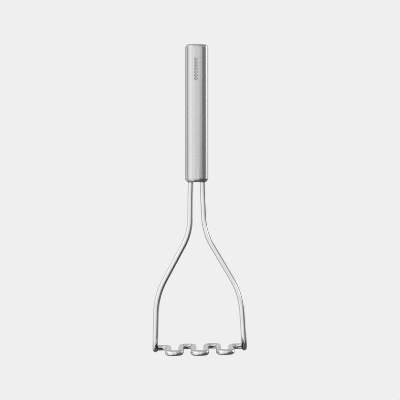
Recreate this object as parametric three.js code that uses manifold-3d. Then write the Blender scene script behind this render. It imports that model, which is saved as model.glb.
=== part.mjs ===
// Wire potato masher. One length of steel wire is bent into a flat serpentine head and two legs,
// and the legs rise into the plugged end of a closed steel tube, which is the handle.
// Millimetres, +Z up. The head lies on z = 0, its runs lie along Y, and the origin is under its middle.
import * as THREE from 'three';
import Module from 'manifold-3d';
import { mergeVertices } from 'three/addons/utils/BufferGeometryUtils.js';

// Wire head
const WIRE_RADIUS = 2.4;
const WIRE_SIDES = 16;
const RUN_PITCH = 10.85;
const OUTER_BEND = 3;
const HEAD_HALF_DEPTH = 35.4;
const OVAL_HALF_WIDTH = 47.5;

// Legs: half the distance between their centre lines, and the heights of their bends
const FOOT_HALF_SPREAD = 38.5;
const FOOT_BEND_RADIUS = 9.5;
const ELBOW = { halfSpread: 36.45, height: 49.7, radius: 62 };
const SHOULDER = { halfSpread: 6.29, height: 103.2, radius: 52 };
const NECK = { halfSpread: 5.46, height: 134, radius: 200 };
const EXIT = { halfSpread: 5.1, below: 2, radius: 120 };
const LEG_INSIDE_HANDLE = 32;

// Handle, which leans a little towards +X from the neck of the legs up
const HANDLE_LEAN = THREE.MathUtils.degToRad(1.2);
const HANDLE_ABOVE_NECK = 12.9;
const HANDLE_LENGTH = 118.6;
const HANDLE_RADIUS = 10;
const TUBE_WALL = 0.8;
const TOP_EDGE_RADIUS = 3;
const CAP_THICKNESS = 1.4;
const PLUG_FACE_RADIUS = 7.9;
const PLUG_LIP_ARC = 3.9;
const PLUG_RIM_HEIGHT = 2.9;
const SPIGOT_DEPTH = 6;
const SPIGOT_WALL = 1.2;
const WELD_WIDTH = 1;
const WELD_HEIGHT = 1.2;
const GAP = 0.3;

const ROUND_SEGMENTS = 64;
const BEND_STEP = THREE.MathUtils.degToRad(15);
const LEG_BEND_STEP = THREE.MathUtils.degToRad(5);

const wasm = await Module();
wasm.setup();

const handleSteel = { color: 0xc4c3c0, roughness: 0.3, metalness: 1 };
const wireSteel = { color: 0xd0d0ce, roughness: 0.12, metalness: 1 };
const weldSteel = { color: 0x8d8a86, roughness: 0.6, metalness: 1 };

function part(name, geometry, finish) {
  const mesh = new THREE.Mesh(geometry, new THREE.MeshStandardMaterial(finish));
  mesh.name = name;
  return mesh;
}

// A closed three.js geometry as a solid that can be cut.
function toSolid(geometry) {
  const bare = geometry.clone();
  bare.deleteAttribute('normal');
  bare.deleteAttribute('uv');
  const merged = mergeVertices(bare, 1e-5);
  const vertProperties = new Float32Array(merged.attributes.position.array);
  const triVerts = new Uint32Array(merged.index.array);
  return new wasm.Manifold(new wasm.Mesh({ numProp: 3, vertProperties, triVerts }));
}

function toGeometry(solid) {
  const mesh = solid.getMesh();
  const geometry = new THREE.BufferGeometry();
  geometry.setAttribute('position', new THREE.BufferAttribute(mesh.vertProperties, 3));
  geometry.setIndex(new THREE.BufferAttribute(mesh.triVerts, 1));
  geometry.computeVertexNormals();
  return geometry;
}

// A body turned about +Z from a profile of [radius, height] pairs that ends where it began or on the axis.
// The profile runs with the material on its left.
function turned(profile) {
  const points = profile.map(([radius, height]) => new THREE.Vector2(radius, height));
  return new THREE.LatheGeometry(points, ROUND_SEGMENTS).rotateX(Math.PI / 2);
}

// ---- Wire ----

// A curve that steps from station to station, so that each step of an extrusion is one station.
class StationCurve extends THREE.Curve {
  constructor(stations) {
    super();
    this.stations = stations;
  }

  station(t) {
    return this.stations[Math.round(t * (this.stations.length - 1))];
  }

  getPointAt(t, target = new THREE.Vector3()) {
    return target.copy(this.station(t).point);
  }

  getTangentAt(t, target = new THREE.Vector3()) {
    return target.copy(this.station(t).direction);
  }
}

// The stations of one rounded corner between the points before and after it.
function cornerStations(before, corner, after) {
  const incoming = corner.at.clone().sub(before.at).normalize();
  const outgoing = after.at.clone().sub(corner.at).normalize();
  const turn = incoming.angleTo(outgoing);
  const axis = incoming.clone().cross(outgoing).normalize();
  const inward = outgoing.clone().sub(incoming).normalize();
  const centre = corner.at.clone().addScaledVector(inward, corner.radius / Math.cos(turn / 2));
  const setback = corner.radius * Math.tan(turn / 2);
  const spoke = corner.at.clone().addScaledVector(incoming, -setback).sub(centre);
  const steps = Math.max(2, Math.ceil(turn / corner.step));
  return Array.from({ length: steps + 1 }, (_, k) => {
    const angle = turn * k / steps;
    return {
      point: spoke.clone().applyAxisAngle(axis, angle).add(centre),
      direction: incoming.clone().applyAxisAngle(axis, angle),
    };
  });
}

// The centre line through a list of corners, straight between their arcs.
function centreLine(corners) {
  const last = corners.length - 1;
  const stations = corners.slice(1, last).flatMap((corner, i) => (
    cornerStations(corners[i], corner, corners[i + 2])
  ));
  const first = { point: corners[0].at, direction: stations[0].direction };
  const end = { point: corners[last].at, direction: stations[stations.length - 1].direction };
  const all = [first, ...stations, end];
  return all.filter((station, i) => i === 0 || station.point.distanceTo(all[i - 1].point) > 1e-6);
}

// A point given by its place across the handle and its height above the neck along the leaning axis.
function inHandle(across, height) {
  const point = new THREE.Vector3(across, 0, height);
  return point.applyAxisAngle(new THREE.Vector3(0, 1, 0), HANDLE_LEAN).add(new THREE.Vector3(0, 0, NECK.height));
}

// The corners of one leg from its top end to its foot, on the side -1 or +1.
function legCorners(side) {
  const bend = (at, radius) => ({ at, radius, step: LEG_BEND_STEP });
  const level = ({ halfSpread, height }) => new THREE.Vector3(side * halfSpread, 0, height);
  return [
    bend(inHandle(side * EXIT.halfSpread, HANDLE_ABOVE_NECK + LEG_INSIDE_HANDLE), 0),
    bend(inHandle(side * EXIT.halfSpread, HANDLE_ABOVE_NECK - EXIT.below), EXIT.radius),
    bend(inHandle(side * NECK.halfSpread, 0), NECK.radius),
    bend(level(SHOULDER), SHOULDER.radius),
    bend(level(ELBOW), ELBOW.radius),
    { at: new THREE.Vector3(side * FOOT_HALF_SPREAD, 0, WIRE_RADIUS), radius: FOOT_BEND_RADIUS, step: BEND_STEP },
  ];
}

// How far the bend number `index` reaches from the middle of the head, which has an oval outline.
function ovalReach(index) {
  return HEAD_HALF_DEPTH * Math.sqrt(1 - (index * RUN_PITCH / OVAL_HALF_WIDTH) ** 2);
}

// Odd bends lie at the back and even ones at the front, shifted so that the head is centred on y = 0.
function bendReach(index) {
  const shift = (ovalReach(0) - ovalReach(1)) / 2;
  return (index % 2 === 0 ? -1 : 1) * ovalReach(index) + shift;
}

// Where the run before the bend number `index` lies. The outermost runs are under the legs.
function runPlace(index) {
  const place = (index - 0.5) * RUN_PITCH;
  const outermost = Math.abs(index - 0.5) > OUTER_BEND;
  return outermost ? Math.sign(place) * FOOT_HALF_SPREAD : place;
}

// The two corners of every U-bend of the serpentine, from -X to +X.
function headCorners() {
  const corners = [];
  for (let index = -OUTER_BEND; index <= OUTER_BEND; index++) {
    const left = runPlace(index);
    const right = runPlace(index + 1);
    for (const x of [left, right]) {
      const at = new THREE.Vector3(x, bendReach(index), WIRE_RADIUS);
      corners.push({ at, radius: (right - left) / 2, step: BEND_STEP });
    }
  }
  return corners;
}

// The wire's section has a flat of its own underneath: its flats touch the true radius.
// It is turned by the legs' slope above the foot, so that the flats lie level all along the head.
function wireSection() {
  const slope = Math.atan2(FOOT_HALF_SPREAD - ELBOW.halfSpread, ELBOW.height - WIRE_RADIUS);
  const cornerRadius = WIRE_RADIUS / Math.cos(Math.PI / WIRE_SIDES);
  const points = Array.from({ length: WIRE_SIDES }, (_, k) => {
    const angle = (k + 0.5) * 2 * Math.PI / WIRE_SIDES - slope;
    return new THREE.Vector2(cornerRadius * Math.cos(angle), cornerRadius * Math.sin(angle));
  });
  return new THREE.Shape(points);
}

function masherWire() {
  const stations = centreLine([...legCorners(-1), ...headCorners(), ...legCorners(1).reverse()]);
  const geometry = new THREE.ExtrudeGeometry(wireSection(), {
    steps: stations.length - 1,
    bevelEnabled: false,
    extrudePath: new StationCurve(stations),
  });
  return part('masher_wire', geometry, wireSteel);
}

// ---- Handle, built upright on z = 0 ----

const SPIGOT_RADIUS = HANDLE_RADIUS - TUBE_WALL - GAP;
const LEG_HOLE_RADIUS = WIRE_RADIUS / Math.cos(Math.PI / WIRE_SIDES) + GAP;
const TUBE_TOP = HANDLE_LENGTH - TOP_EDGE_RADIUS;
const PLUG_TOP = PLUG_RIM_HEIGHT + SPIGOT_DEPTH;

function handleTube() {
  const inner = HANDLE_RADIUS - TUBE_WALL;
  const bottom = PLUG_RIM_HEIGHT + GAP;
  return part('handle_tube', turned([
    [inner, bottom],
    [HANDLE_RADIUS, bottom],
    [HANDLE_RADIUS, TUBE_TOP],
    [inner, TUBE_TOP],
    [inner, bottom],
  ]), handleSteel);
}

// A pressed cup with a rounded edge, whose skirt sits inside the tube.
function topCap() {
  const bottom = TUBE_TOP + GAP;
  const skirtBottom = TUBE_TOP - SPIGOT_DEPTH;
  const skirtInner = SPIGOT_RADIUS - SPIGOT_WALL;
  const flatRadius = HANDLE_RADIUS - TOP_EDGE_RADIUS;
  const underside = HANDLE_LENGTH - CAP_THICKNESS;
  const start = Math.asin(GAP / TOP_EDGE_RADIUS);
  const steps = 6;
  const edge = Array.from({ length: steps + 1 }, (_, k) => {
    const angle = start + (Math.PI / 2 - start) * k / steps;
    return [flatRadius + TOP_EDGE_RADIUS * Math.cos(angle), TUBE_TOP + TOP_EDGE_RADIUS * Math.sin(angle)];
  });
  return part('top_cap', turned([
    [0, underside],
    [skirtInner - SPIGOT_WALL, underside],
    [skirtInner, underside - SPIGOT_WALL],
    [skirtInner, skirtBottom],
    [SPIGOT_RADIUS, skirtBottom],
    [SPIGOT_RADIUS, bottom],
    ...edge,
    [0, HANDLE_LENGTH],
  ]), handleSteel);
}

// The plug's lip: an arc that bulges between the edge of its face and its rim.
function plugLip() {
  const start = new THREE.Vector2(PLUG_FACE_RADIUS, 0);
  const end = new THREE.Vector2(HANDLE_RADIUS, PLUG_RIM_HEIGHT);
  const chord = end.clone().sub(start);
  const halfAngle = Math.asin(chord.length() / 2 / PLUG_LIP_ARC);
  const firstAngle = chord.angle() - Math.PI / 2 - halfAngle;
  const spoke = new THREE.Vector2(Math.cos(firstAngle), Math.sin(firstAngle)).multiplyScalar(PLUG_LIP_ARC);
  const centre = start.clone().sub(spoke);
  const steps = 5;
  return Array.from({ length: steps + 1 }, (_, k) => (
    spoke.clone().rotateAround(new THREE.Vector2(), 2 * halfAngle * k / steps).add(centre).toArray()
  ));
}

// The bottom plug: a rounded lip below the tube, a spigot inside it, and a hole for each leg.
function bottomPlug() {
  const body = toSolid(turned([
    [0, 0],
    ...plugLip(),
    [SPIGOT_RADIUS, PLUG_RIM_HEIGHT],
    [SPIGOT_RADIUS, PLUG_TOP],
    [0, PLUG_TOP],
  ]));
  const drill = new THREE.CylinderGeometry(LEG_HOLE_RADIUS, LEG_HOLE_RADIUS, 4 * PLUG_TOP, ROUND_SEGMENTS / 2);
  drill.rotateX(Math.PI / 2);
  const drilled = [-1, 1].reduce((solid, side) => (
    solid.subtract(toSolid(drill.clone().translate(side * EXIT.halfSpread, 0, 0)))
  ), body);
  return part('bottom_plug', toGeometry(drilled), handleSteel);
}

// The fillet of weld that holds a leg on the plug's inner face.
function legWeld(name, side) {
  const bead = turned([
    [LEG_HOLE_RADIUS, 0],
    [LEG_HOLE_RADIUS + WELD_WIDTH, 0],
    [LEG_HOLE_RADIUS + WELD_WIDTH / 2, WELD_HEIGHT * 0.7],
    [LEG_HOLE_RADIUS, WELD_HEIGHT],
    [LEG_HOLE_RADIUS, 0],
  ]);
  const weld = part(name, bead, weldSteel);
  weld.position.set(side * EXIT.halfSpread, 0, PLUG_TOP + GAP);
  return weld;
}

function handle() {
  const upright = new THREE.Group();
  upright.position.z = HANDLE_ABOVE_NECK;
  upright.add(handleTube(), topCap(), bottomPlug(), legWeld('left_leg_weld', -1), legWeld('right_leg_weld', 1));
  const leaning = new THREE.Group();
  leaning.position.z = NECK.height;
  leaning.rotation.y = HANDLE_LEAN;
  leaning.add(upright);
  return leaning;
}

const masher = new THREE.Group();
masher.name = 'potato_masher';
masher.add(masherWire(), handle());

export default masher;
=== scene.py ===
"""Wire potato masher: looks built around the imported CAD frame.

One bright bent wire makes the head and both legs, and a satin steel tube makes the handle.
Everything is in metres, in the frame of the CAD model: the head lies on z = 0 and its runs
lie along Y.
"""
import math

import bmesh
import bpy
from mathutils import Matrix, Vector


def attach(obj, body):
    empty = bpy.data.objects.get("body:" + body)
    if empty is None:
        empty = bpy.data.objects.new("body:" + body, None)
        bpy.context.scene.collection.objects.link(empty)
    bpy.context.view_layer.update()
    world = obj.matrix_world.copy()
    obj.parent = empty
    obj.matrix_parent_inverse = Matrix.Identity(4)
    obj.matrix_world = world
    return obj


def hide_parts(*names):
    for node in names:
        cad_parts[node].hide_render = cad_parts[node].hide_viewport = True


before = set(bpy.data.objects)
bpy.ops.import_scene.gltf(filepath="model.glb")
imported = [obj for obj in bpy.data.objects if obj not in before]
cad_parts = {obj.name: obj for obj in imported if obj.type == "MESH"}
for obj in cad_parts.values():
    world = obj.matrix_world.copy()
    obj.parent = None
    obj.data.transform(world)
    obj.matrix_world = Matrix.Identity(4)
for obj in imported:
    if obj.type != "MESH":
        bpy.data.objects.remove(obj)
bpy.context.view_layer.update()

MM = 0.001

# Wire: the same driving dimensions as the CAD model
WIRE_RADIUS = 2.4 * MM
RUN_PITCH = 10.85 * MM
OUTER_BEND = 3
HEAD_HALF_DEPTH = 35.4 * MM
OVAL_HALF_WIDTH = 47.5 * MM
FOOT_HALF_SPREAD = 38.5 * MM
FOOT_BEND_RADIUS = 9.5 * MM
ELBOW = (36.45 * MM, 49.7 * MM, 62 * MM)
SHOULDER = (6.29 * MM, 103.2 * MM, 52 * MM)
NECK_HALF_SPREAD = 5.46 * MM
NECK_HEIGHT = 134 * MM
NECK_RADIUS = 200 * MM
EXIT_HALF_SPREAD = 5.1 * MM
EXIT_BELOW = 2 * MM
EXIT_RADIUS = 120 * MM
LEG_INSIDE_HANDLE = 32 * MM

# Handle
HANDLE_LEAN = math.radians(1.2)
HANDLE_ABOVE_NECK = 12.9 * MM
HANDLE_LENGTH = 118.6 * MM
HANDLE_RADIUS = 10 * MM
TUBE_WALL = 0.8 * MM
TOP_EDGE_RADIUS = 3 * MM
CAP_THICKNESS = 1.4 * MM
PLUG_FACE_RADIUS = 7.9 * MM
PLUG_LIP_ARC = 3.9 * MM
PLUG_RIM_HEIGHT = 2.9 * MM
SPIGOT_DEPTH = 6 * MM
SPIGOT_WALL = 1.2 * MM
TUBE_TOP = HANDLE_LENGTH - TOP_EDGE_RADIUS
TUBE_BORE = HANDLE_RADIUS - TUBE_WALL
LEG_HOLE_CLEARANCE = 0.05 * MM

# How finely the pieces are meshed
WIRE_SIDES = 48
STATION_GAP = 2.5 * MM
SAME_PLACE = 1e-7
LEG_ARC_STEP = math.radians(2)
BEND_ARC_STEP = math.radians(3)
TURNED_SIDES = 160
TUBE_RINGS = 24
LEG_HOLE_SIDES = 64

# Painted shade on the legs where they enter the handle, darkening the wire's colour: how far down
# it reaches, and how dark it gets
CONTACT_SHADE_REACH = 1 * MM
CONTACT_SHADE_TONE = 0.35

# Etched pattern on the handle's front
MARK_TURN = math.radians(-4)
MARK_TOP = 11.9 * MM
DIAMOND_COUNT = 7
DIAMOND_SIZE = (3.7 * MM, 2.8 * MM)
DIAMOND_EDGE_PARTS = 6
DOT_SHARE = 0.26
DOT_HOLE_SHARE = 0.02
ETCHED_LINE = 0.48 * MM
ETCHED_TOP = HANDLE_RADIUS + 0.01 * MM
ETCHED_BOTTOM = HANDLE_RADIUS - 0.05 * MM

HANDLE_FRAME = (
    Matrix.Translation((0, 0, NECK_HEIGHT))
    @ Matrix.Rotation(HANDLE_LEAN, 4, "Y")
    @ Matrix.Translation((0, 0, HANDLE_ABOVE_NECK))
)


# ---- Meshes ----


def link_mesh(name, verts, faces, matrix=None):
    mesh = bpy.data.meshes.new(name)
    mesh.from_pydata(verts, [], faces)
    mesh.validate()
    mesh.update()
    piece = bpy.data.objects.new(name, mesh)
    if matrix is not None:
        piece.matrix_world = matrix
    bpy.context.scene.collection.objects.link(piece)
    return piece


def face_outward(piece):
    work = bmesh.new()
    work.from_mesh(piece.data)
    bmesh.ops.recalc_face_normals(work, faces=work.faces)
    work.to_mesh(piece.data)
    work.free()


def smooth(piece, sharp_degrees=30):
    for face in piece.data.polygons:
        face.use_smooth = True
    piece.data.set_sharp_from_angle(angle=math.radians(sharp_degrees))


def corner_stations(before, corner, after, radius, step):
    """(point, direction) pairs along the arc that rounds one corner of a centre line."""
    incoming = (corner - before).normalized()
    outgoing = (after - corner).normalized()
    turn = incoming.angle(outgoing)
    axis = incoming.cross(outgoing).normalized()
    inward = (outgoing - incoming).normalized()
    centre = corner + inward * (radius / math.cos(turn / 2))
    spoke = corner - incoming * (radius * math.tan(turn / 2)) - centre
    count = max(2, math.ceil(turn / step))
    stations = []
    for k in range(count + 1):
        spin = Matrix.Rotation(turn * k / count, 3, axis)
        stations.append((centre + spin @ spoke, spin @ incoming))
    return stations


def centre_line(corners):
    """The stations along (point, bend radius, angle step) corners, straight between their arcs."""
    stations = []
    for before, (corner, radius, step), after in zip(corners, corners[1:], corners[2:]):
        stations += corner_stations(before[0], corner, after[0], radius, step)
    stations.insert(0, (corners[0][0], stations[0][1]))
    stations.append((corners[-1][0], stations[-1][1]))
    kept = [stations[0]]
    for station in stations[1:]:
        if (station[0] - kept[-1][0]).length > SAME_PLACE:
            kept.append(station)
    return kept


def divided(stations, longest):
    """The same stations with more between those that lie far apart."""
    result = [stations[0]]
    for (start, _), (end, direction) in zip(stations, stations[1:]):
        count = max(1, math.ceil((end - start).length / longest))
        along = (end - start).normalized()
        result += [(start.lerp(end, k / count), along) for k in range(1, count)]
        result.append((end, direction))
    return result


def in_handle(across, height):
    """A point from its place across the handle and its height above the neck along the axis."""
    spin = Matrix.Rotation(HANDLE_LEAN, 3, "Y")
    return spin @ Vector((across, 0, height)) + Vector((0, 0, NECK_HEIGHT))


def leg_corners(side):
    """The corners of one leg from its top end down to its foot, on the side -1 or +1."""
    top = in_handle(side * EXIT_HALF_SPREAD, HANDLE_ABOVE_NECK + LEG_INSIDE_HANDLE)
    leaving = in_handle(side * EXIT_HALF_SPREAD, HANDLE_ABOVE_NECK - EXIT_BELOW)
    neck = in_handle(side * NECK_HALF_SPREAD, 0)
    corners = [
        (top, 0, LEG_ARC_STEP),
        (leaving, EXIT_RADIUS, LEG_ARC_STEP),
        (neck, NECK_RADIUS, LEG_ARC_STEP),
    ]
    for half_spread, height, radius in (SHOULDER, ELBOW):
        corners.append((Vector((side * half_spread, 0, height)), radius, LEG_ARC_STEP))
    foot = Vector((side * FOOT_HALF_SPREAD, 0, WIRE_RADIUS))
    return corners + [(foot, FOOT_BEND_RADIUS, BEND_ARC_STEP)]


def oval_reach(index):
    return HEAD_HALF_DEPTH * math.sqrt(1 - (index * RUN_PITCH / OVAL_HALF_WIDTH) ** 2)


def bend_reach(index):
    """Where the bend number `index` turns back: odd ones at the back, even ones at the front."""
    shift = (oval_reach(0) - oval_reach(1)) / 2
    side = -1 if index % 2 == 0 else 1
    return side * oval_reach(index) + shift


def run_place(index):
    """Where the run before the bend number `index` lies. The outermost runs are under the legs."""
    place = (index - 0.5) * RUN_PITCH
    outermost = abs(index - 0.5) > OUTER_BEND
    return math.copysign(FOOT_HALF_SPREAD, place) if outermost else place


def head_corners():
    """The two corners of every U-bend of the serpentine, from -X to +X."""
    corners = []
    for index in range(-OUTER_BEND, OUTER_BEND + 1):
        left, right = run_place(index), run_place(index + 1)
        for x in (left, right):
            corner = Vector((x, bend_reach(index), WIRE_RADIUS))
            corners.append((corner, (right - left) / 2, BEND_ARC_STEP))
    return corners


def swept_bar(name, stations, radius, sides):
    """A closed round bar along the stations, with a UV map: U the length in metres, V the turn."""
    normal = stations[0][1].orthogonal().normalized()
    before = stations[0][1]
    verts, lengths, length = [], [], 0.0
    for i, (point, direction) in enumerate(stations):
        normal = before.rotation_difference(direction) @ normal
        normal = (normal - direction * normal.dot(direction)).normalized()
        across = direction.cross(normal)
        before = direction
        length += (point - stations[i - 1][0]).length if i else 0.0
        lengths.append(length)
        for k in range(sides):
            angle = 2 * math.pi * k / sides
            verts.append(point + (normal * math.cos(angle) + across * math.sin(angle)) * radius)
    last = len(stations) - 1
    faces, uvs = [], []
    for i in range(last):
        near, far = i * sides, (i + 1) * sides
        for k in range(sides):
            j = (k + 1) % sides
            faces.append((near + k, near + j, far + j, far + k))
            v0, v1 = k / sides, (k + 1) / sides
            uvs += [(lengths[i], v0), (lengths[i], v1), (lengths[i + 1], v1), (lengths[i + 1], v0)]
    faces.append(tuple(reversed(range(sides))))
    faces.append(tuple(last * sides + k for k in range(sides)))
    uvs += [(0.0, k / sides) for k in reversed(range(sides))]
    uvs += [(length, k / sides) for k in range(sides)]
    mesh = bpy.data.meshes.new(name)
    mesh.from_pydata(verts, [], faces)
    layer = mesh.uv_layers.new(name="along")
    for loop, uv in zip(layer.data, uvs):
        loop.uv = uv
    mesh.update()
    piece = bpy.data.objects.new(name, mesh)
    bpy.context.scene.collection.objects.link(piece)
    smooth(piece)
    return piece


def turned(name, profile, segments=TURNED_SIDES):
    """A body turned about the handle's axis from (radius, height) pairs.

    A profile that starts off the axis closes on itself.
    """
    on_axis = profile[0][0] == 0
    verts, rings = [], []
    for radius, height in profile:
        if radius == 0:
            rings.append([len(verts)] * segments)
            verts.append((0, 0, height))
            continue
        rings.append(list(range(len(verts), len(verts) + segments)))
        for k in range(segments):
            angle = 2 * math.pi * k / segments
            verts.append((radius * math.cos(angle), radius * math.sin(angle), height))
    pairs = list(zip(rings, rings[1:]))
    if not on_axis:
        pairs.append((rings[-1], rings[0]))
    faces = []
    for low, high in pairs:
        for k in range(segments):
            j = (k + 1) % segments
            corners = [low[k], low[j], high[j], high[k]]
            faces.append(tuple(dict.fromkeys(corners)))
    piece = link_mesh(name, verts, faces, HANDLE_FRAME)
    face_outward(piece)
    smooth(piece)
    return piece


def arc(centre, radius, start, end, steps):
    """Points on a circular arc in the (radius, height) plane, angles in radians."""
    points = []
    for k in range(steps + 1):
        angle = start + (end - start) * k / steps
        points.append((centre[0] + radius * math.cos(angle), centre[1] + radius * math.sin(angle)))
    return points


# ---- Wire and handle pieces ----


def make_wire():
    corners = leg_corners(-1) + head_corners() + leg_corners(1)[::-1]
    stations = divided(centre_line(corners), STATION_GAP)
    return swept_bar("masher_wire_bright", stations, WIRE_RADIUS, WIRE_SIDES)


def make_tube():
    length = TUBE_TOP - PLUG_RIM_HEIGHT
    heights = [PLUG_RIM_HEIGHT + length * k / TUBE_RINGS for k in range(TUBE_RINGS + 1)]
    outer_line = [(HANDLE_RADIUS, height) for height in heights]
    inner_line = [(TUBE_BORE, TUBE_TOP), (TUBE_BORE, PLUG_RIM_HEIGHT)]
    return turned("handle_tube_satin", outer_line + inner_line)


def make_cap():
    skirt_bottom = TUBE_TOP - SPIGOT_DEPTH
    skirt_inner = TUBE_BORE - SPIGOT_WALL
    flat_radius = HANDLE_RADIUS - TOP_EDGE_RADIUS
    underside = HANDLE_LENGTH - CAP_THICKNESS
    inner_centre = (skirt_inner - SPIGOT_WALL, underside - SPIGOT_WALL)
    inner_corner = arc(inner_centre, SPIGOT_WALL, math.pi / 2, 0, steps=8)
    edge = arc((flat_radius, TUBE_TOP), TOP_EDGE_RADIUS, 0, math.pi / 2, steps=24)
    face = [(flat_radius * share, HANDLE_LENGTH) for share in (0.8, 0.6, 0.4, 0.2)]
    return turned("top_cap_satin", [
        (0, underside),
        *inner_corner,
        (skirt_inner, skirt_bottom),
        (TUBE_BORE, skirt_bottom),
        (TUBE_BORE, TUBE_TOP),
        *edge,
        *face,
        (0, HANDLE_LENGTH),
    ])


def plug_lip():
    """The arc that bulges between the edge of the plug's face and its rim."""
    start = Vector((PLUG_FACE_RADIUS, 0))
    chord = Vector((HANDLE_RADIUS, PLUG_RIM_HEIGHT)) - start
    half_angle = math.asin(chord.length / 2 / PLUG_LIP_ARC)
    first = math.atan2(chord.y, chord.x) - math.pi / 2 - half_angle
    centre = start - Vector((math.cos(first), math.sin(first))) * PLUG_LIP_ARC
    return arc(centre, PLUG_LIP_ARC, first, first + 2 * half_angle, steps=16)


def make_plug():
    top = PLUG_RIM_HEIGHT + SPIGOT_DEPTH
    plug = turned("bottom_plug_satin", [
        (0, 0),
        *plug_lip(),
        (TUBE_BORE, PLUG_RIM_HEIGHT),
        (TUBE_BORE, top),
        (0, top),
    ])
    hole = {
        "vertices": LEG_HOLE_SIDES,
        "radius": WIRE_RADIUS + LEG_HOLE_CLEARANCE,
        "depth": 4 * top,
    }
    for side in (-1, 1):
        bpy.ops.mesh.primitive_cylinder_add(**hole)
        drill = bpy.context.object
        drill.matrix_world = HANDLE_FRAME @ Matrix.Translation((side * EXIT_HALF_SPREAD, 0, 0))
        cut = plug.modifiers.new("leg hole", "BOOLEAN")
        cut.object = drill
        cut.operation = "DIFFERENCE"
        cut.solver = "EXACT"
        bpy.context.view_layer.objects.active = plug
        bpy.ops.object.modifier_apply(modifier=cut.name)
        bpy.data.objects.remove(drill)
    smooth(plug)
    return plug


def round_handle(across, height, radius):
    """A point of the flat pattern laid round the front of the handle."""
    angle = MARK_TURN - math.pi / 2 + across / HANDLE_RADIUS
    return (radius * math.cos(angle), radius * math.sin(angle), height)


def closed_band(loops, start):
    """Quads that join each loop of points to the next one and the last to the first."""
    count = len(loops[0])
    faces = []
    for i in range(len(loops)):
        near, far = start + i * count, start + (i + 1) % len(loops) * count
        for k in range(count):
            j = (k + 1) % count
            faces.append((near + k, near + j, far + j, far + k))
    return faces


def diamond(share):
    """The outline of a diamond, at a share of the full size."""
    width, height = DIAMOND_SIZE
    tips = [(width / 2, 0), (0, height / 2), (-width / 2, 0), (0, -height / 2)]
    outline = []
    for (x0, y0), (x1, y1) in zip(tips, tips[1:] + tips[:1]):
        for k in range(DIAMOND_EDGE_PARTS):
            t = k / DIAMOND_EDGE_PARTS
            outline.append((share * (x0 + (x1 - x0) * t), share * (y0 + (y1 - y0) * t)))
    return outline


def make_mark():
    """A chain of diamonds with a dot in each, standing just proud of the tube."""
    height = DIAMOND_SIZE[1]
    line_share = 1 - 2 * ETCHED_LINE / height
    verts, faces = [], []
    for index in range(DIAMOND_COUNT):
        middle = HANDLE_LENGTH - MARK_TOP - height * (index + 0.5)
        for outer_share, inner_share in ((1, line_share), (DOT_SHARE, DOT_HOLE_SHARE)):
            outer, inner = diamond(outer_share), diamond(inner_share)
            section = [
                (outer, ETCHED_TOP),
                (inner, ETCHED_TOP),
                (inner, ETCHED_BOTTOM),
                (outer, ETCHED_BOTTOM),
            ]
            loops = []
            for outline, radius in section:
                loops.append([round_handle(x, middle + y, radius) for x, y in outline])
            faces += closed_band(loops, len(verts))
            for loop in loops:
                verts += loop
    mark = link_mesh("handle_mark", verts, faces, HANDLE_FRAME)
    face_outward(mark)
    return mark


# ---- Materials ----


# Noise values lie mostly between these two
NOISE_LOW = 0.3
NOISE_HIGH = 0.7


class Nodes:
    """Adds nodes to a tree and links them, so that a material reads as a list of steps."""

    def __init__(self, tree):
        self.tree = tree

    def add(self, kind, values=None, links=None, **settings):
        node = self.tree.nodes.new("ShaderNode" + kind)
        for key, value in settings.items():
            setattr(node, key, value)
        for socket, value in (values or {}).items():
            node.inputs[socket].default_value = value
        for socket, source in (links or {}).items():
            self.tree.links.new(source, node.inputs[socket])
        return node

    def math(self, operation, *terms):
        node = self.add("Math", operation=operation)
        for socket, term in zip(node.inputs, terms):
            if isinstance(term, (int, float)):
                socket.default_value = term
            else:
                self.tree.links.new(term, socket)
        return node.outputs[0]

    def scaled(self, source, scale):
        return self.add("Mapping", values={"Scale": scale}, links={"Vector": source}).outputs[0]

    def noise(self, source, scale, detail=3, roughness=0.6):
        values = {"Scale": scale, "Detail": detail, "Roughness": roughness}
        return self.add("TexNoise", values=values, links={"Vector": source}).outputs["Fac"]

    def spread(self, source, low, high):
        """A noise value around 0.5 stretched to run from low to high."""
        values = {"From Min": NOISE_LOW, "From Max": NOISE_HIGH, "To Min": low, "To Max": high}
        return self.add("MapRange", values=values, links={"Value": source}).outputs["Result"]

    def blend(self, factor, start, end):
        """A colour that runs from start to end as the factor runs from 0 to 1."""
        values = {6: start, 7: end}
        node = self.add("Mix", data_type="RGBA", values=values, links={0: factor})
        return node.outputs[2]

    def bump(self, height, strength, distance):
        values = {"Strength": strength, "Distance": distance}
        return self.add("Bump", values=values, links={"Height": height}).outputs[0]


def grey(level):
    return (level, level, level, 1)


def new_material(name):
    material = bpy.data.materials.new(name)
    material.use_nodes = True
    material.node_tree.nodes.clear()
    return material, Nodes(material.node_tree)


def finish_material(nodes, shader):
    output = nodes.add("OutputMaterial")
    nodes.tree.links.new(shader.outputs[0], output.inputs["Surface"])


def finish_metal(nodes, tone, roughness, normal, values=None, links=None):
    """A bare metal surface, with any other values and links that its shader needs."""
    shader = nodes.add(
        "BsdfPrincipled",
        values={"Metallic": 1.0, **(values or {})},
        links={"Base Color": tone, "Roughness": roughness, "Normal": normal, **(links or {})},
    )
    finish_material(nodes, shader)


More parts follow.
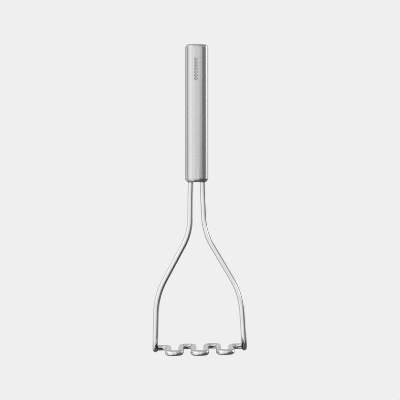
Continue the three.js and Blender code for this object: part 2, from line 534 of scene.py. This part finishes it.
def satin_steel(name):
    """Turned and brushed steel: fine grooves run round the axis, also on the flat of the cap."""
    material, nodes = new_material(name)
    place = nodes.add("TexCoord").outputs["Object"]
    x, y, z = nodes.add("SeparateXYZ", links={"Vector": place}).outputs
    square = nodes.math("ADD", nodes.math("MULTIPLY", x, x), nodes.math("MULTIPLY", y, y))
    profile = nodes.math("SUBTRACT", z, nodes.math("SQRT", square))
    turned_place = nodes.add("CombineXYZ", links={0: x, 1: y, 2: profile}).outputs[0]
    grooves = nodes.noise(nodes.scaled(turned_place, (120, 120, 9000)), 1.0, detail=2)
    streaks = nodes.noise(nodes.scaled(turned_place, (40, 40, 1100)), 1.0, detail=4)
    clouds = nodes.noise(place, 60, detail=3)
    groove_rough = nodes.spread(grooves, 0.2, 0.26)
    tangent = nodes.add("Tangent", direction_type="RADIAL", axis="Z")
    finish_metal(
        nodes,
        tone=nodes.blend(nodes.spread(streaks, 0.2, 0.9), grey(0.49), grey(0.52)),
        roughness=nodes.math("ADD", groove_rough, nodes.spread(clouds, -0.015, 0.015)),
        normal=nodes.bump(grooves, strength=0.08, distance=0.02 * MM),
        values={"Anisotropic": 0.8, "Anisotropic Rotation": 0.25},
        links={"Tangent": tangent.outputs[0]},
    )
    return material


def bright_steel(name):
    """Polished wire: faint drawing lines, patches of haze, and painted shade darkening the legs
    where they enter the handle.
    """
    material, nodes = new_material(name)
    along = nodes.add("TexCoord").outputs["UV"]
    place = nodes.add("TexCoord").outputs["Object"]
    lines = nodes.noise(nodes.scaled(along, (60, 26, 1)), 1.0, detail=2)
    haze = nodes.noise(place, 90, detail=4)
    bare_tone = nodes.blend(nodes.spread(lines, 0.1, 0.9), grey(0.59), grey(0.65))
    height = nodes.add("SeparateXYZ", links={"Vector": place}).outputs[2]
    # The wire's colour is darkened just below the handle: painted contact shade where the legs meet
    # it
    ragged = nodes.spread(nodes.noise(place, 900), -0.15 * MM, 0.15 * MM)
    joint = NECK_HEIGHT + HANDLE_ABOVE_NECK
    reach = {"From Min": joint - CONTACT_SHADE_REACH, "From Max": joint, "To Min": 1, "To Max": CONTACT_SHADE_TONE}
    contact_shade = nodes.add("MapRange", values=reach, links={"Value": nodes.math("ADD", height, ragged)})
    contact_shade_links = {0: bare_tone, "Scale": contact_shade.outputs["Result"]}
    shaded_tone = nodes.add("VectorMath", operation="SCALE", links=contact_shade_links)
    haze_rough = nodes.spread(haze, 0.05, 0.1)
    finish_metal(
        nodes,
        tone=shaded_tone.outputs[0],
        roughness=nodes.math("ADD", haze_rough, nodes.spread(lines, -0.01, 0.01)),
        normal=nodes.bump(lines, strength=0.035, distance=0.02 * MM),
    )
    return material


def etched_steel(name):
    """Frosted grey lines etched into the tube."""
    material, nodes = new_material(name)
    place = nodes.add("TexCoord").outputs["Object"]
    frost = nodes.noise(place, 6000, detail=3)
    wear = nodes.noise(place, 500, detail=2)
    finish_metal(
        nodes,
        tone=nodes.blend(nodes.spread(wear, 0.1, 0.9), grey(0.10), grey(0.17)),
        roughness=nodes.spread(frost, 0.4, 0.55),
        normal=nodes.bump(frost, strength=0.3, distance=0.02 * MM),
    )
    return material


def weld_steel(name):
    """Dull grey-brown weld metal with ripples."""
    material, nodes = new_material(name)
    place = nodes.add("TexCoord").outputs["Object"]
    ripples = nodes.noise(place, 1500, detail=3)
    finish_metal(
        nodes,
        tone=nodes.blend(ripples, (0.32, 0.30, 0.28, 1), (0.5, 0.47, 0.43, 1)),
        roughness=nodes.spread(ripples, 0.45, 0.7),
        normal=nodes.bump(ripples, strength=0.4, distance=0.1 * MM),
    )
    return material


# ---- Object ----

wire = make_wire()
tube = make_tube()
cap = make_cap()
plug = make_plug()
mark = make_mark()

handle_finish = satin_steel("satin stainless steel")
wire_finish = bright_steel("bright stainless wire")
weld_finish = weld_steel("weld metal")
for piece, node, finish, slot in (
    (wire, "masher_wire", wire_finish, "wire_steel"),
    (tube, "handle_tube", handle_finish, "handle_steel"),
    (cap, "top_cap", handle_finish, "handle_steel"),
    (plug, "bottom_plug", handle_finish, "handle_steel"),
):
    piece.data.materials.clear()
    piece.data.materials.append(finish)
    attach(piece, "root")
    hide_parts(node)
mark.data.materials.append(etched_steel("etched steel"))
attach(mark, "root")
for node in ("left_leg_weld", "right_leg_weld"):
    for material_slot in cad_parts[node].material_slots:
        material_slot.material = weld_finish


# ---- Studio ----

BACKGROUND = 0.863
BACKDROP_RADIUS = 6
FLOOR_RADIUS = 5
FLOOR_DROP = 0.1 * MM
CARD_DROP = 0.5 * MM
# Level of the card under the head: a painted shadow that shows in the wire's reflections
SHADE_CARD_LEVEL = 0.02

# The room as (height above the horizon in degrees, level): dark below, pale above
ROOM_DARK = (-25, 0.13)
ROOM_LIGHT = (75, 0.80)

# Softboxes as (direction, width, side edge, lowest, highest, level), angles in degrees.
# Direction 0 is towards the camera, 90 is to the right and 180 is behind the object.
# The lowest and highest edges are heights above the horizon.
LEVEL_EDGE = 10
SOFTBOXES = {
    "key": (-60, 95, 60, -70, 55, 1.50),
    "fill": (-5, 90, 25, -55, 45, 0.85),
    "side fill": (42, 46, 15, -1, 20, 1.60),
    "rim": (120, 35, 5, -6, 30, 1.90),
    "low rim": (128, 20, 5, -15, 5, 1.00),
    "left strip": (-123, 38, 4, -60, 60, 0.65),
    "left wall": (-86, 26, 4, -75, 70, 0.50),
    "back wall": (180, 90, 20, -30, 25, 0.30),
}


def compass_angles(nodes, direction):
    """The azimuth (0 towards the camera) and the height above the horizon, in degrees."""
    x, y, z = nodes.add("SeparateXYZ", links={"Vector": direction}).outputs
    azimuth = nodes.math("ARCTAN2", x, nodes.math("MULTIPLY", y, -1.0))
    return nodes.math("DEGREES", azimuth), nodes.math("DEGREES", nodes.math("ARCSINE", z))


def feathered(nodes, offset, half_size, soft_edge):
    """1 in the middle of a softbox, fading to 0 over the soft edge on either side."""
    distance = nodes.math("ABSOLUTE", offset)
    values = {"From Min": half_size, "From Max": half_size - soft_edge}
    links = {"Value": distance}
    fade = nodes.add("MapRange", values=values, links=links, interpolation_type="SMOOTHSTEP")
    return fade.outputs["Result"]


def make_studio():
    """A dim room with a few softboxes round the object. They light every piece alike."""
    world = bpy.data.worlds.new("studio")
    bpy.context.scene.world = world
    world.use_nodes = True
    tree = world.node_tree
    tree.nodes.clear()
    nodes = Nodes(tree)
    azimuth, height = compass_angles(nodes, nodes.add("TexCoord").outputs["Generated"])
    (low, dark), (high, pale) = ROOM_DARK, ROOM_LIGHT
    values = {"From Min": low, "From Max": high, "To Min": dark, "To Max": pale}
    light = nodes.add("MapRange", values=values, links={"Value": height}).outputs["Result"]
    for direction, width, side_edge, lowest, highest, level in SOFTBOXES.values():
        aside = nodes.math("WRAP", nodes.math("SUBTRACT", azimuth, direction), -180, 180)
        above = nodes.math("SUBTRACT", height, (lowest + highest) / 2)
        across = feathered(nodes, aside, width / 2, side_edge)
        upright = feathered(nodes, above, (highest - lowest) / 2, LEVEL_EDGE)
        glow = nodes.math("MULTIPLY", nodes.math("MULTIPLY", across, upright), level)
        light = nodes.math("ADD", light, glow)
    background = nodes.add("Background", values={"Strength": 1.0}, links={"Color": light})
    output = nodes.add("OutputWorld")
    tree.links.new(background.outputs[0], output.inputs["Surface"])


def seen_only(piece):
    """Keeps a piece out of reflections and shadows, so that only the camera sees it."""
    piece.visible_glossy = False
    piece.visible_diffuse = False
    piece.visible_shadow = False
    piece.visible_transmission = False


def glow_material(name, level):
    material, nodes = new_material(name)
    shader = nodes.add("Emission", values={"Color": grey(level), "Strength": 1.0})
    finish_material(nodes, shader)
    return material


def make_shade_card():
    """A black card with cut corners under the head, seen in reflections only: painted shade
    standing in for the shadowed floor under the head.
    """
    corners = [(35 * MM, -20 * MM), (35 * MM, 20 * MM), (22 * MM, 31 * MM)]
    outline = corners + [(-x, y) for x, y in reversed(corners)]
    verts = [(x, y, -CARD_DROP) for x, y in outline]
    card = link_mesh("painted_shade_card", verts, [tuple(range(len(verts)))])
    card.data.materials.append(glow_material("painted shade card", SHADE_CARD_LEVEL))
    card.visible_camera = False
    card.visible_diffuse = False
    card.visible_shadow = False


def make_backdrop():
    """A pale sphere round everything and a pale floor just under the head."""
    bpy.ops.mesh.primitive_uv_sphere_add(segments=48, ring_count=24, radius=BACKDROP_RADIUS)
    backdrop = bpy.context.object
    bpy.ops.mesh.primitive_circle_add(vertices=96, radius=FLOOR_RADIUS, fill_type="NGON")
    floor = bpy.context.object
    floor.location.z = -FLOOR_DROP
    for piece, name in ((backdrop, "backdrop"), (floor, "floor")):
        piece.name = name
        piece.data.materials.append(glow_material("pale " + name, BACKGROUND))
        seen_only(piece)


CAMERA_DISTANCE = 1.498
CAMERA_PLACE = (2.835 * MM, -CAMERA_DISTANCE, 131.34 * MM)
FRAME_WIDTH = 345.04 * MM
SENSOR_WIDTH = 36


def make_camera():
    """A long lens, level and square on, rolled so that the handle stands upright in the picture."""
    data = bpy.data.cameras.new("camera")
    data.sensor_width = SENSOR_WIDTH
    data.lens = SENSOR_WIDTH * CAMERA_DISTANCE / FRAME_WIDTH
    data.clip_end = 50
    camera = bpy.data.objects.new("camera", data)
    bpy.context.scene.collection.objects.link(camera)
    place = Matrix.Translation(CAMERA_PLACE)
    roll = Matrix.Rotation(HANDLE_LEAN, 4, "Y")
    level = Matrix.Rotation(math.pi / 2, 4, "X")
    camera.matrix_world = place @ roll @ level
    bpy.context.scene.camera = camera


make_studio()
make_shade_card()
make_backdrop()
make_camera()
bpy.context.scene.view_settings.view_transform = "Standard"
bpy.context.scene.render.dither_intensity = 0
bpy.context.scene.cycles.filter_width = 1.0
